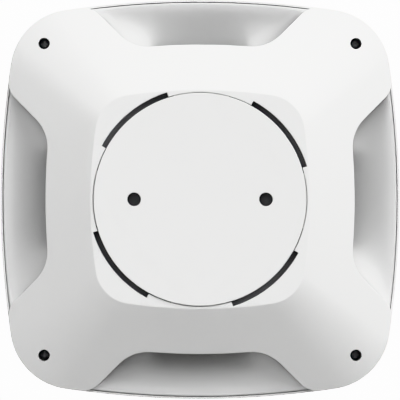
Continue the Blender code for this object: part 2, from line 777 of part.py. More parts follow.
def coin_holder():
    floor = COIN_TOP - COIN_THICK - GAP
    place = (COIN_PLACE, 0.0)
    inner = COIN_RADIUS + GAP
    outer = COIN_RADIUS + 1.5
    profile = [(inner, floor), (inner, COIN_TOP - 0.6), (outer, COIN_TOP - 0.6), (outer, floor - 1.2)]
    return turn(turned("coin_cell_holder", profile, place), 45 + 90 * 2)


def coin_cell():
    low = COIN_TOP - COIN_THICK
    place = (COIN_PLACE, 0.0)
    profile = [(8.6, COIN_TOP), (8.6, COIN_TOP - 0.5), (COIN_RADIUS, COIN_TOP - 0.7), (COIN_RADIUS, low)]
    return turn(turned("coin_cell", profile, place), 45 + 90 * 2)


def antenna():
    """A folded strip that stands in the fourth arm and is fed from the board's tongue."""
    height = BOARD_BOTTOM - GAP
    strip = block("antenna", (47.5, -1.0, height - 0.8), (66.0, 1.0, height))
    join(strip, block("arm", (64.0, -11.0, height - 0.8), (66.0, 11.0, height)))
    for side in (-1, 1):
        across = sorted((side * 9.0, side * 11.0))
        join(strip, block("return", (54.0, across[0], height - 0.8), (65.0, across[1], height)))
    return turn(strip, 45 + 90 * 3)


def radio_shield():
    top = BOARD_BOTTOM - GAP
    return block("radio_shield", (24.0, -6.5, top - 3.0), (38.0, 6.5, top))


def control_chip():
    """Square package with a row of legs on each side."""
    top = BOARD_BOTTOM - GAP
    chip = block("control_chip", (-33.0, -5.0, top - 1.5), (-23.0, 5.0, top - 0.2))
    for leg in range(5):
        y = -4.0 + 2.0 * leg
        join(chip, block("leg", (-34.5, y - 0.4, top - 0.9), (-21.5, y + 0.4, top - 0.5)))
    return chip


def status_led():
    top = BOARD_BOTTOM - GAP
    profile = [(2.0, top), (2.0, top - 1.0), (1.5, top - 1.0), (1.5, top - 3.4), (0.8, top - 4.5)]
    return turned("status_led", profile, (-8.5, -6.0), SMALL_STEPS)


# ---------------------------------------------------------------- buttons and their switches


def push_switch(name, place, near, far, bore_radius, bore_end):
    """Square switch body from near its button to far beside the board, with a blind bore for its plunger."""
    half = REAR_SWITCH_HALF
    low = (place[0] - half, place[1] - half, min(near, far))
    high = (place[0] + half, place[1] + half, max(near, far))
    mouth = near + math.copysign(1.0, near - far)
    bore = cylinder("bore", bore_radius, min(bore_end, mouth), max(bore_end, mouth), place, SMALL_STEPS)
    return cut(block(name, low, high), bore)


def test_button():
    collar = TEST_RADIUS + 1.2
    profile = [
        (TEST_RADIUS - 0.6, TEST_FACE), (TEST_RADIUS, TEST_FACE + 0.5), (TEST_RADIUS, -28.7), (collar, -28.7),
        (collar, -27.9), (1.6, -27.9), (1.6, -17.2),
    ]
    return turned("test_button", profile, steps=32)


def rear_button(name, place, radius, top):
    """A pin through the seat's floor, kept in by a collar below it."""
    collar = SEAT_TOP - SEAT_THICK - GAP
    profile = [
        (radius - 0.4, top), (radius, top - 0.4), (radius, collar), (radius + 1.2, collar),
        (radius + 1.2, collar - 0.5), (1.4, collar - 0.5), (1.4, -8.8),
    ]
    return centre_on(turned(name, profile, place, 16), place)


def plunger(name, place, radius, low, high):
    return centre_on(cylinder(name, radius, low, high, place, SMALL_STEPS), place)


def build_housing(material):
    finish(rear_cover(), material["white_shell"])
    finish(air_guide(), material["grey_guide"])
    finish(front_cover(), material["white_shell"])
    for i, place in enumerate(corners(SCREW_PLACE)):
        finish(case_screw(f"case_screw_{i + 1}", place), material["dark_steel"])
    for i in range(4):
        finish(turn(insect_screen(f"insect_screen_{i + 1}"), 90 * i), material["steel"])


def build_bracket(material):
    finish(mounting_bracket(), material["white_shell"])
    finish(bracket_seat(), material["dark_carrier"])
    for i, place in enumerate(corners(EAR_PLACE / math.sqrt(2))):
        finish(seat_screw(f"seat_screw_{i + 1}", place), material["steel"])
    for i, (x, y) in enumerate(corners(1.0)):
        finish(board_screw(f"board_screw_{i + 1}", (x * POST_X, y * POST_Y)), material["steel"])


def build_electronics(material):
    finish(main_board(), material["board_green"])
    finish(chamber_base(), material["black_plastic"])
    finish(chamber_cap(), material["black_plastic"])
    finish(chamber_screen(), material["steel"])
    finish(optic("infrared_emitter", 30.0), material["clear_resin"])
    finish(optic("light_receiver", 150.0), material["black_plastic"])
    finish(thermistor("thermistor_1", 1), material["black_plastic"])
    finish(thermistor("thermistor_2", -1), material["black_plastic"])
    finish(siren_housing(), material["cream_part"])
    finish(piezo_disc(), material["piezo_brass"])
    finish(siren_cap(), material["cream_part"])
    for i, quadrant in enumerate((0, 1)):
        finish(battery_cradle(f"battery_cradle_{i + 1}", quadrant), material["black_plastic"])
        finish(battery(f"battery_{i + 1}", quadrant), material["cell_wrap"])
        for side in (-1, 1):
            number = 2 * i + (3 + side) // 2
            finish(battery_contact(f"battery_contact_{number}", quadrant, side), material["spring_bronze"])
    finish(coin_holder(), material["black_plastic"])
    finish(coin_cell(), material["steel"])
    finish(antenna(), material["spring_bronze"])
    finish(radio_shield(), material["steel"])
    finish(control_chip(), material["black_plastic"])
    finish(status_led(), material["clear_resin"])


def build_buttons(material):
    board_gap = BOARD_TOP + GAP
    finish(test_button(), material["white_shell"])
    finish(plunger("test_plunger", (0.0, 0.0), 1.4, -16.9, -15.1), material["cream_part"])
    switch = push_switch("test_switch", (0.0, 0.0), -15.9, BOARD_BOTTOM - GAP, 1.75, -14.3)
    finish(switch, material["black_plastic"])
    for kind, place, radius, top in (
        ("tamper", TAMPER_PLACE, 2.0, TAMPER_TOP),
        ("power", POWER_PLACE, 3.0, POWER_TOP),
    ):
        finish(rear_button(f"{kind}_button", place, radius, top), material["cream_part"])
        finish(plunger(f"{kind}_plunger", place, 1.2, -10.4, -9.1), material["cream_part"])
        switch = push_switch(f"{kind}_switch", place, REAR_SWITCH_TOP, board_gap, 1.6, -11.4)
        finish(switch, material["black_plastic"])


def main():
    clear_scene()
    material = make_materials()
    build_housing(material)
    build_bracket(material)
    build_electronics(material)
    build_buttons(material)


main()
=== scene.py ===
"""Looks of the smoke detector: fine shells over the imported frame, moulded plastics and metals, studio light.

Lengths are in millimetres and angles in degrees in the constants; meshes are in metres. The detector lies
with its front on the floor, so +Z, the ceiling side, faces the camera.
"""

import json
import math

import bmesh
import bpy
from mathutils import Matrix, Vector


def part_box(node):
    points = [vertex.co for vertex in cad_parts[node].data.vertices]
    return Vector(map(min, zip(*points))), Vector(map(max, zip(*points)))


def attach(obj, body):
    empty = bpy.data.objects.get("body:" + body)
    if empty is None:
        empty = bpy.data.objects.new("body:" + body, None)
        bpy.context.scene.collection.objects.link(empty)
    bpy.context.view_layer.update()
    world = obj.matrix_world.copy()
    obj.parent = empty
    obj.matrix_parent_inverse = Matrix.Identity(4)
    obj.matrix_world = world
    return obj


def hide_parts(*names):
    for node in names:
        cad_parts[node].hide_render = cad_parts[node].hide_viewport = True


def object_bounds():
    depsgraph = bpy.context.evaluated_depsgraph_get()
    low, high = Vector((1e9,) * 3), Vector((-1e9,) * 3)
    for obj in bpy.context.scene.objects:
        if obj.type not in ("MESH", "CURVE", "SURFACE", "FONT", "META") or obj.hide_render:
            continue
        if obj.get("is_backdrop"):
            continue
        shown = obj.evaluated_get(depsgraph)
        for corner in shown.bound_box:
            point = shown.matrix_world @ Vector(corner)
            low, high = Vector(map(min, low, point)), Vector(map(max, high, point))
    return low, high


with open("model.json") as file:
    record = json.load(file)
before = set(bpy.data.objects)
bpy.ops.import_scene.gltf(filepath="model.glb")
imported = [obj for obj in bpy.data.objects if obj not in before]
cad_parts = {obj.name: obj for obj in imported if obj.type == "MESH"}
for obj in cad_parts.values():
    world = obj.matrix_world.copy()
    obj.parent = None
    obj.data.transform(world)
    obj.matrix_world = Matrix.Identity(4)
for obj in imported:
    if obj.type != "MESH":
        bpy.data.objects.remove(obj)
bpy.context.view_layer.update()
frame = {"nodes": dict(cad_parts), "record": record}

MM = 0.001


def span(node):
    """Lowest and highest corner of a CAD node, in millimetres."""
    low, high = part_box(node)
    return low / MM, high / MM


# ---------------------------------------------------------------- driving dimensions

FRONT_LOW, FRONT_HIGH = span("front_cover")
CASE_HALF = FRONT_HIGH.x
RIM_TOP = FRONT_HIGH.z
FRONT_FACE = FRONT_LOW.z
CASE_SIDE_RADIUS = 290.0
CASE_CORNER_RADIUS = 21.2

PLATEAU_TOP = span("rear_cover")[1].z
PLATEAU_HALF = 35.9
PLATEAU_SIDE_RADIUS = 161.7
PLATEAU_CORNER_RADIUS = 12.3
PLATEAU_THICK = 2.4
PLATEAU_EDGE = 0.2
PLATEAU_BRIM = (-0.25, -0.1, 0.0, 0.1, 0.3)
SLOPE_DROP = 13.6
SLOPE_START = 1.0
COVER_WALL = 2.0
COVER_ROOF = 1.5
COVER_BOTTOM = -15.2
COVER_REACH = -24.0
COVER_EDGE = 0.2
INLET_EDGE = 50.8
INLET_EDGE_RADIUS = 206.0
ARM_HALF = 19.52
ARM_ROOT_RADIUS = 13.2
ARM_TIP_RADIUS = 8.5
WINDOW_HALF = 16.0
WINDOW_TOP = -9.6
WINDOW_CORNER = 1.2
WINDOW_CUT = (46.0, 54.0)

OPENING_RADIUS = 35.15
NOTCH_RADIUS = 36.7
NOTCH_MIDDLE = 39.3
NOTCH_HALF = 22.2
OPENING_EDGE = 0.1
EAR_PLACE = 40.8

BRACKET_RADIUS = 34.88
BRACKET_THICK = 2.6
BRACKET_SKIRT = 1.8
BRACKET_BOTTOM = span("mounting_bracket")[0].z
BRACKET_EDGE = 0.18
TAB_RADIUS = 36.4
TAB_TOP = -3.4
TAB_MIDDLE = 89.3
TAB_HALF = 15.0
FIXING_PITCH = 43.2
FIXING_RADIUS = 2.25
FIXING_EDGE = 0.12

SCREW_PLACE = 51.35
SCREW_HOLE = 1.9
SCREW_SEAT = -21.5
SCREW_HEAD_TOP = span("case_screw_1")[1].z
REAR_BOSS_RADIUS = 3.6
REAR_BOSS_BOTTOM = -23.0
FRONT_BOSS_RADIUS = 3.4
FRONT_BOSS_TOP = -23.3
SCREW_SHANK_HOLE = 1.25
FRONT_PILOT_RADIUS = 1.3
FRONT_PILOT_BOTTOM = -28.0
EAR_BOSS_RADIUS = 2.1
EAR_BOSS_BOTTOM = -5.5
EAR_PILOT_RADIUS = 0.9
EAR_PILOT_TOP = -3.0

RIM_WALL = 0.8
RIM_EDGE = 0.25
FRONT_WALL = 2.0
FRONT_FLAT_INSET = 20.0
FRONT_FLAT_HEIGHT = -30.8
FRONT_FLAT_RADIUS = 36.0
BUTTON_HOLE = 8.8

GUIDE_OUTER_INSET = 1.1
GUIDE_LIP_INSET = 1.9
GUIDE_STEP_INSET = 2.2
GUIDE_INNER_INSET = 3.2
GUIDE_RING_BOTTOM = -17.7
GUIDE_THICK = 2.2
GUIDE_EDGE = 0.25
SCOOP_DEPTH = 7.2
SCOOP_LIP = 0.12
SCOOP_FULL_WIDTH = 9.0

SCREEN_LOW, SCREEN_HIGH = span("insect_screen_1")
WIRE_PITCH = 1.0
WIRE_RADIUS = 0.11
SCREEN_BORDER = 1.0

TEST_RADIUS = 8.4
SIREN_Y = -27.0
SOUND_HOLE_RADIUS = 1.2
SOUND_HOLE_RING = 5.5
SOUND_HOLES = 6

ROUND = 64
SMOOTH_BELOW = 32.0


# ---------------------------------------------------------------- outlines, as in the CAD but with more steps


def arc(centre, radius, start, end, steps):
    """Points along an arc between two angles in radians, both ends included."""
    angles = [start + (end - start) * i / steps for i in range(steps + 1)]
    return [(centre[0] + radius * math.cos(a), centre[1] + radius * math.sin(a)) for a in angles]


class RoundedSquare:
    """A square with bowed sides and round corners, every arc running smoothly into the next."""

    def __init__(self, half, side_radius, corner_radius):
        self.side_radius = side_radius
        self.corner_radius = corner_radius
        self.side_centre = half - side_radius
        reach = side_radius - corner_radius
        self.corner = (self.side_centre + math.sqrt(2 * reach**2 - self.side_centre**2)) / 2
        self.turn_angle = math.atan2(self.corner, self.corner - self.side_centre)
        meet = self.corner + corner_radius * math.sin(self.turn_angle)
        self.meet_angle = math.atan2(meet, self.corner + corner_radius * math.cos(self.turn_angle))

    def radius(self, angle):
        """Distance from the middle to the outline along angle."""
        folded = abs((angle + math.pi / 4) % (math.pi / 2) - math.pi / 4)
        cosine = math.cos(folded)
        sine = math.sin(folded)
        if folded <= self.meet_angle:
            return self.side_centre * cosine + math.sqrt(self.side_radius**2 - (self.side_centre * sine) ** 2)
        spread = self.corner * (cosine - sine)
        return self.corner * (cosine + sine) + math.sqrt(self.corner_radius**2 - spread**2)

    def octant(self, side_steps, corner_steps, start=0.0):
        """Outline from the angle start on the side arc, seen from that arc's centre, to the diagonal."""
        side = arc((self.side_centre, 0.0), self.side_radius, start, self.turn_angle, side_steps)
        corner = (self.corner, self.corner)
        return side + arc(corner, self.corner_radius, self.turn_angle, math.pi / 4, corner_steps)[1:]


CASE = RoundedSquare(CASE_HALF, CASE_SIDE_RADIUS, CASE_CORNER_RADIUS)
PLATEAU = RoundedSquare(PLATEAU_HALF, PLATEAU_SIDE_RADIUS, PLATEAU_CORNER_RADIUS)


def eight_fold(octant):
    """The full outline from its stretch between the +X axis and the diagonal."""
    quarter = octant + [(y, x) for x, y in reversed(octant[:-1])][:-1]
    outline = []
    for _ in range(4):
        outline += quarter
        quarter = [(-y, x) for x, y in quarter]
    return outline


def meeting(offset, distance):
    """y where the point (y + offset, y) lies at this distance from the origin."""
    return (-offset + math.sqrt(2 * distance**2 - offset**2)) / 2


def cover_outline():
    """Edge of the rear cover: bowed at the inlets, straight along the arms, round at the tips."""
    diagonal_gap = ARM_HALF * math.sqrt(2)
    edge_centre = INLET_EDGE - INLET_EDGE_RADIUS
    root_gap = diagonal_gap + ARM_ROOT_RADIUS * math.sqrt(2)
    root_y = meeting(root_gap - edge_centre, INLET_EDGE_RADIUS + ARM_ROOT_RADIUS)
    root = (root_y + root_gap, root_y)
    edge_end = math.atan2(root_y, root[0] - edge_centre)
    tip_gap = diagonal_gap - ARM_TIP_RADIUS * math.sqrt(2)
    tip_y = meeting(tip_gap - CASE.side_centre, CASE_SIDE_RADIUS - ARM_TIP_RADIUS)
    tip = (tip_y + tip_gap, tip_y)
    tip_end = math.atan2(tip_y, tip[0] - CASE.side_centre)
    octant = arc((edge_centre, 0.0), INLET_EDGE_RADIUS, 0.0, edge_end, 9)
    octant += arc(root, ARM_ROOT_RADIUS, math.pi + edge_end, 0.75 * math.pi, 10)[1:]
    round_tip = arc(tip, ARM_TIP_RADIUS, -math.pi / 4, tip_end, 10)
    octant += between(octant[-1], round_tip[0], 6)[1:-1]
    octant += round_tip
    octant += CASE.octant(3, 12, tip_end)[1:]
    return eight_fold(octant)


def between(start, end, steps):
    """Points along a straight line, both ends included."""
    return [tuple(Vector(start).lerp(Vector(end), i / steps)) for i in range(steps + 1)]


def opening_outline():
    """The round opening for the bracket, with its four notches."""
    outline = []
    for quarter in range(4):
        start = math.radians(NOTCH_MIDDLE - NOTCH_HALF + 90 * quarter)
        end = math.radians(NOTCH_MIDDLE + NOTCH_HALF + 90 * quarter)
        outline += arc((0.0, 0.0), NOTCH_RADIUS, start, end, 24)
        outline += arc((0.0, 0.0), OPENING_RADIUS, end, start + math.pi / 2, 24)
    return outline


def inset(outline, distance):
    """The outline moved inwards by distance along its own normals."""
    moved = []
    for i, point in enumerate(outline):
        here = Vector(point)
        before = (here - Vector(outline[i - 1])).normalized()
        after = (Vector(outline[(i + 1) % len(outline)]) - here).normalized()
        along = (before + after).normalized()
        inward = Vector((-along.y, along.x))
        moved.append(tuple(here + inward * distance / along.dot(after)))
    return moved


def circle(radius, place=(0.0, 0.0), steps=ROUND):
    return arc(place, radius, 0.0, math.tau * (steps - 1) / steps, steps - 1)


def at(outline, height):
    return [(x, y, height) for x, y in outline]


def on_rays(outline, radius_at):
    """Points on another outline along the same rays from the middle."""
    angles = [math.atan2(y, x) for x, y in outline]
    return [(radius_at(a) * math.cos(a), radius_at(a) * math.sin(a)) for a in angles]


def mixed(start, end, share):
    """The outline this share of the way from start to end, point by point."""
    return [tuple(Vector(a).lerp(Vector(b), share)) for a, b in zip(start, end)]


def corners(distance):
    """The four (x, y) on the diagonals at this distance along each axis."""
    return [(distance * sx, distance * sy) for sx, sy in ((1, 1), (-1, 1), (-1, -1), (1, -1))]


def rounding(radius, steps=4):
    """(inset, drop) pairs down a quarter-round edge, from its flat top to its upright side."""
    angles = [math.pi / 2 * i / steps for i in range(steps + 1)]
    return [(radius * (1 - math.sin(a)), radius * (1 - math.cos(a))) for a in angles]


def cover_top(x, y):
    """Height of the rear cover's outer skin: the plateau, its slightly rounded edge, and the slope."""
    angle = math.atan2(y, x)
    start = PLATEAU.radius(angle)
    run = CASE.radius(angle) - start
    share = (math.hypot(x, y) - start) / run
    soft = PLATEAU_EDGE / run
    return PLATEAU_TOP - SLOPE_DROP * (share + math.hypot(share, soft)) / 2


def draped(outline, lift=0.0):
    """The outline laid on the rear cover's skin, raised by lift."""
    return [(x, y, cover_top(x, y) + lift) for x, y in outline]


# ---------------------------------------------------------------- mesh building


class Skin:
    """A mesh in the making, from rings of points in millimetres."""

    def __init__(self):
        self.mesh = bmesh.new()

    def ring(self, points):
        return [self.mesh.verts.new(Vector(point) * MM) for point in points]

    def rings(self, *outlines):
        """Rings of as many points each, joined one to the next by quads."""
        made = [self.ring(points) for points in outlines]
        self.bridge(*made)
        return made

    def bridge(self, *rings):
        for here, there in zip(rings, rings[1:]):
            for i, vert in enumerate(here):
                j = (i + 1) % len(here)
                self.mesh.faces.new((vert, here[j], there[j], there[i]))

    def fill(self, *rings):
        """Triangles across the flat area between an outer ring and the rings inside it."""
        edges = []
        for ring in rings:
            for i, vert in enumerate(ring):
                pair = (vert, ring[(i + 1) % len(ring)])
                edges.append(self.mesh.edges.get(pair) or self.mesh.edges.new(pair))
        bmesh.ops.triangle_fill(self.mesh, use_beauty=True, edges=edges)

    def cap(self, ring):
        self.mesh.faces.new(ring)

    def made(self, name):
        """The finished mesh as an object with its faces turned outwards."""
        bmesh.ops.recalc_face_normals(self.mesh, faces=self.mesh.faces)
        mesh = bpy.data.meshes.new(name)
        self.mesh.to_mesh(mesh)
        self.mesh.free()
        obj = bpy.data.objects.new(name, mesh)
        bpy.context.scene.collection.objects.link(obj)
        return obj


def turned(name, profile, place=(0.0, 0.0), steps=ROUND):
    """A closed body turned about an upright axis from (radius, height) points."""
    skin = Skin()
    made = skin.rings(*[at(circle(radius, place, steps), height) for radius, height in profile])
    skin.cap(made[0])
    skin.cap(made[-1])
    return skin.made(name)


def combine(target, tools, operation):
    """Boolean each tool into target and remove the tool."""
    for tool in tools:
        modifier = target.modifiers.new("Combine", "BOOLEAN")
        modifier.operation = operation
        modifier.object = tool
        graph = bpy.context.evaluated_depsgraph_get()
        result = bpy.data.meshes.new_from_object(target.evaluated_get(graph))
        target.modifiers.remove(modifier)
        target.data = result
        bpy.data.objects.remove(tool)
    return target


def cut(target, *tools):
    return combine(target, tools, "DIFFERENCE")


def join(target, *tools):
    return combine(target, tools, "UNION")


def turn(obj, angle):
    """Turn a piece's mesh about the upright axis through the origin."""
    obj.data.transform(Matrix.Rotation(math.radians(angle), 4, "Z"))
    return obj


def hand_over(obj, slot, body, *nodes):
    """Material, smooth shading with weighted normals, and the piece's place in the frame."""
    obj.data.name = obj.name
    obj.data.materials.clear()
    obj.data.materials.append(LOOKS[slot])
    for face in obj.data.polygons:
        face.material_index = 0
    obj.data.shade_smooth()
    obj.data.set_sharp_from_angle(angle=math.radians(SMOOTH_BELOW))
    weighted = obj.modifiers.new("Even shading", "WEIGHTED_NORMAL")
    weighted.keep_sharp = True
    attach(obj, body)
    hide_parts(*nodes)
    return obj


# ---------------------------------------------------------------- materials


def node_material(name, colour, roughness, metallic=0.0):
    """A new material, its Principled shader and its node tree."""
    material = bpy.data.materials.new(name)
    material.use_nodes = True
    tree = material.node_tree
    shader = tree.nodes["Principled BSDF"]
    shader.inputs["Base Color"].default_value = (*colour, 1.0)
    shader.inputs["Roughness"].default_value = roughness
    shader.inputs["Metallic"].default_value = metallic
    return material, shader, tree


def noise(tree, size, stretch=(1.0, 1.0, 1.0), detail=2.0):
    """A noise texture in object space whose grains are about size millimetres across."""
    coordinates = tree.nodes.new("ShaderNodeTexCoord")
    mapping = tree.nodes.new("ShaderNodeMapping")
    mapping.inputs["Scale"].default_value = stretch
    texture = tree.nodes.new("ShaderNodeTexNoise")
    texture.inputs["Scale"].default_value = 1.0 / (size * MM)
    texture.inputs["Detail"].default_value = detail
    tree.links.new(coordinates.outputs["Object"], mapping.inputs["Vector"])
    tree.links.new(mapping.outputs["Vector"], texture.inputs["Vector"])
    return texture


def add_bump(tree, shader, height, depth, strength):
    """Bump from a height output; depth is in millimetres."""
    bump = tree.nodes.new("ShaderNodeBump")
    bump.inputs["Strength"].default_value = strength
    bump.inputs["Distance"].default_value = depth * MM
    tree.links.new(height, bump.inputs["Height"])
    tree.links.new(bump.outputs["Normal"], shader.inputs["Normal"])


def spread(tree, value, low, high, socket):
    """Map a noise value around its middle to the range low..high of a shader socket."""
    ranged = tree.nodes.new("ShaderNodeMapRange")
    ranged.inputs["From Min"].default_value = 0.35
    ranged.inputs["From Max"].default_value = 0.65
    ranged.inputs["To Min"].default_value = low
    ranged.inputs["To Max"].default_value = high
    tree.links.new(value, ranged.inputs["Value"])
    tree.links.new(ranged.outputs["Result"], socket)


def tint(tree, value, colour, other, socket):
    """Blend two colours by a noise value into a colour socket."""
    ramp = tree.nodes.new("ShaderNodeValToRGB")
    ramp.color_ramp.elements[0].position = 0.3
    ramp.color_ramp.elements[1].position = 0.7
    ramp.color_ramp.elements[0].color = (*colour, 1.0)
    ramp.color_ramp.elements[1].color = (*other, 1.0)
    tree.links.new(value, ramp.inputs["Fac"])
    tree.links.new(ramp.outputs["Color"], socket)


def moulded(name, colour, roughness, grain=0.22, depth=0.012, flow=0.012):
    """Injection-moulded plastic: spark-eroded grain, faint flow marks, uneven gloss."""
    material, shader, tree = node_material(name, colour, roughness)
    fine = noise(tree, grain)
    add_bump(tree, shader, fine.outputs["Fac"], depth, 0.35)
    broad = noise(tree, 18.0, detail=3.0)
    darker = [channel * (1 - flow) for channel in colour]
    tint(tree, broad.outputs["Fac"], darker, colour, shader.inputs["Base Color"])
    patches = noise(tree, 5.0)
    spread(tree, patches.outputs["Fac"], roughness - 0.03, roughness + 0.03, shader.inputs["Roughness"])
    return material


def metal(name, colour, roughness, along=(1.0, 1.0, 12.0), depth=0.004):
    """Bare metal with fine drawing marks and stains."""
    material, shader, tree = node_material(name, colour, roughness, 1.0)
    marks = noise(tree, 0.3, along, 4.0)
    add_bump(tree, shader, marks.outputs["Fac"], depth, 0.5)
    spread(tree, marks.outputs["Fac"], roughness - 0.07, roughness + 0.09, shader.inputs["Roughness"])
    stains = noise(tree, 3.0, detail=4.0)
    darker = [channel * 0.82 for channel in colour]
    tint(tree, stains.outputs["Fac"], darker, colour, shader.inputs["Base Color"])
    return material


def laminate(name, mask, copper):
    """Solder mask over a board, with the paler copper below it showing as traces."""
    material, shader, tree = node_material(name, mask, 0.4)
    coordinates = tree.nodes.new("ShaderNodeTexCoord")
    cells = tree.nodes.new("ShaderNodeTexVoronoi")
    cells.distance = "MANHATTAN"
    cells.feature = "DISTANCE_TO_EDGE"
    cells.inputs["Scale"].default_value = 1.0 / (4.0 * MM)
    tree.links.new(coordinates.outputs["Object"], cells.inputs["Vector"])
    ramp = tree.nodes.new("ShaderNodeValToRGB")
    ramp.color_ramp.elements[0].position = 0.05
    ramp.color_ramp.elements[1].position = 0.07
    ramp.color_ramp.elements[0].color = (*copper, 1.0)
    ramp.color_ramp.elements[1].color = (*mask, 1.0)
    tree.links.new(cells.outputs["Distance"], ramp.inputs["Fac"])
    tree.links.new(ramp.outputs["Color"], shader.inputs["Base Color"])
    add_bump(tree, shader, noise(tree, 0.6).outputs["Fac"], 0.02, 0.3)
    return material


def resin(name, colour):
    """Clear cast resin, faintly cloudy."""
    material, shader, tree = node_material(name, colour, 0.1)
    shader.inputs["Transmission Weight"].default_value = 0.7
    cloud = noise(tree, 1.0)
    spread(tree, cloud.outputs["Fac"], 0.06, 0.16, shader.inputs["Roughness"])
    add_bump(tree, shader, cloud.outputs["Fac"], 0.01, 0.2)
    return material


LOOKS = {
    "white_shell": moulded("satin white plastic", (0.86, 0.86, 0.855), 0.42),
    # painted shade: the same satin plastic as the shell, made greyer so the scoops in the recesses read darker
    "grey_guide": moulded("satin plastic greyed as painted shade", (0.77, 0.77, 0.77), 0.50),
    # painted shade: the carrier seen through the fixing holes and gaps is made dark grey so they read as deep
    # shade
    "dark_carrier": moulded("dark plastic painted as shade", (0.28, 0.28, 0.29), 0.55, flow=0.1),
    "steel": metal("bright steel", (0.62, 0.62, 0.62), 0.30),
    "dark_steel": metal("blackened steel", (0.32, 0.32, 0.33), 0.45),
    "spring_bronze": metal("spring bronze", (0.78, 0.60, 0.34), 0.30),
    "board_green": laminate("green circuit board", (0.03, 0.16, 0.07), (0.06, 0.26, 0.11)),
    "black_plastic": moulded("matt black plastic", (0.02, 0.02, 0.02), 0.50, flow=0.2),
    "cell_wrap": metal("wrapped cell", (0.10, 0.12, 0.16), 0.35, (1.0, 1.0, 1.0), 0.01),
    "piezo_brass": metal("brass disc", (0.80, 0.64, 0.30), 0.28, (1.0, 8.0, 1.0)),
    "clear_resin": resin("clear resin", (0.75, 0.80, 0.85)),
    "cream_part": moulded("cream plastic", (0.72, 0.66, 0.52), 0.50, flow=0.03),
}


# ---------------------------------------------------------------- rear cover


def rear_cover():
    """Plateau, ruled slopes, rounded edge, skirt and inner skin, then windows, bosses and bores."""
    edge = cover_outline()
    opening = opening_outline()
    inner = inset(edge, COVER_WALL)
    slope_end = inset(edge, COVER_EDGE)
    slope_start = on_rays(edge, lambda angle: PLATEAU.radius(angle) + SLOPE_START)
    skin = Skin()
    brim = [on_rays(edge, lambda angle: PLATEAU.radius(angle) + away) for away in PLATEAU_BRIM]
    slope = [mixed(slope_start, slope_end, (i / 10) ** 1.3) for i in range(11)]
    round_edge = [draped(inset(edge, depth), -drop) for depth, drop in rounding(COVER_EDGE)[1:]]
    outer = [at(brim[0], PLATEAU_TOP), *map(draped, brim[1:]), *map(draped, slope), *round_edge]
    plateau = on_rays(edge, PLATEAU.radius)
    under = [draped(mixed(inner, plateau, i / 4), -COVER_ROOF) for i in range(4)]
    plateau_back = PLATEAU_TOP - PLATEAU_THICK
    skirt = [at(edge, COVER_REACH), at(inner, COVER_REACH)]
    body = skin.rings(*outer, *skirt, *under, at(plateau, plateau_back))
    mouth = [at(inset(opening, -depth), PLATEAU_TOP - drop) for depth, drop in rounding(OPENING_EDGE, 2)]
    wall = skin.rings(*mouth, at(opening, plateau_back))
    skin.fill(body[0], wall[0])
    skin.fill(body[-1], wall[-1])
    cover = cut(skin.made("rear_cover_shell"), guide_room())
    for quarter in range(4):
        cut(cover, turn(window_cutter(), 90 * quarter))
    for place in corners(SCREW_PLACE):
        foot = circle(REAR_BOSS_RADIUS, place, 48)
        boss = Skin()
        made = boss.rings(at(foot, REAR_BOSS_BOTTOM), draped(foot, -COVER_ROOF / 2))
        boss.cap(made[0])
        boss.cap(made[-1])
        join(cover, boss.made("boss"))
        bore = [(SCREW_HOLE, 0), (SCREW_HOLE, SCREW_SEAT)]
        bore += [(SCREW_SHANK_HOLE, SCREW_SEAT), (SCREW_SHANK_HOLE, REAR_BOSS_BOTTOM - 2)]
        cut(cover, turned("bore", bore, place, 48))
    for place in corners(EAR_PLACE / math.sqrt(2)):
        boss = [(EAR_BOSS_RADIUS, PLATEAU_TOP - PLATEAU_THICK / 2), (EAR_BOSS_RADIUS, EAR_BOSS_BOTTOM)]
        pilot = [(EAR_PILOT_RADIUS, EAR_PILOT_TOP), (EAR_PILOT_RADIUS, EAR_BOSS_BOTTOM - 0.5)]
        join(cover, turned("boss", boss, place, 32))
        cut(cover, turned("pilot", pilot, place, 24))
    return hand_over(cover, "white_shell", "housing", "rear_cover")


def guide_room():
    """Everything below the cover's lower edge, which stays a gap above the air guide's scoops."""
    edge = cover_outline()
    outer = on_rays(edge, CASE.radius)
    lip = inset(outer, GUIDE_LIP_INSET)
    inner = inset(edge, GUIDE_INNER_INSET)
    around = inset(outer, -1.0)
    lift = RIM_TOP - COVER_BOTTOM
    floor = [scoop_ring(lip, inner, share, lift) for share in (0.15, 0.4, 0.7, 1.0)]
    below = COVER_REACH - 1
    roof = [at(around, COVER_BOTTOM), at(lip, COVER_BOTTOM), *floor]
    skin = Skin()
    made = skin.rings(at(around, below), *roof, at(inner, below))
    skin.bridge(made[-1], made[0])
    return skin.made("guide_room")


def window_cutter():
    """A bar through the +X wall with round upper corners."""
    low = COVER_REACH - 1
    reach = WINDOW_HALF - WINDOW_CORNER
    height = WINDOW_TOP - WINDOW_CORNER
    side = [(-WINDOW_HALF, low), (WINDOW_HALF, low)]
    side += arc((reach, height), WINDOW_CORNER, 0.0, math.pi / 2, 6)
    side += arc((-reach, height), WINDOW_CORNER, math.pi / 2, math.pi, 6)
    skin = Skin()
    near, far = skin.rings(*[[(x, y, z) for y, z in side] for x in WINDOW_CUT])
    skin.cap(near)
    skin.cap(far)
    return skin.made("window")


# ---------------------------------------------------------------- air guide


def scoop_floor(share, width):
    """Depth below the rim at this share of the way from the lip to the hidden inner edge."""
    narrow = GUIDE_INNER_INSET - GUIDE_LIP_INSET
    fullness = max(0.0, min(1.0, (width - narrow) / SCOOP_FULL_WIDTH))
    soft = math.hypot(share, SCOOP_LIP) - SCOOP_LIP
    return SCOOP_DEPTH * fullness * soft


def scoop_ring(lip, inner, share, drop=0.0):
    ring = []
    for outer_point, inner_point in zip(lip, inner):
        start = Vector(outer_point)
        end = Vector(inner_point)
        place = start.lerp(end, share)
        ring.append((place.x, place.y, RIM_TOP - scoop_floor(share, (end - start).length) - drop))
    return ring


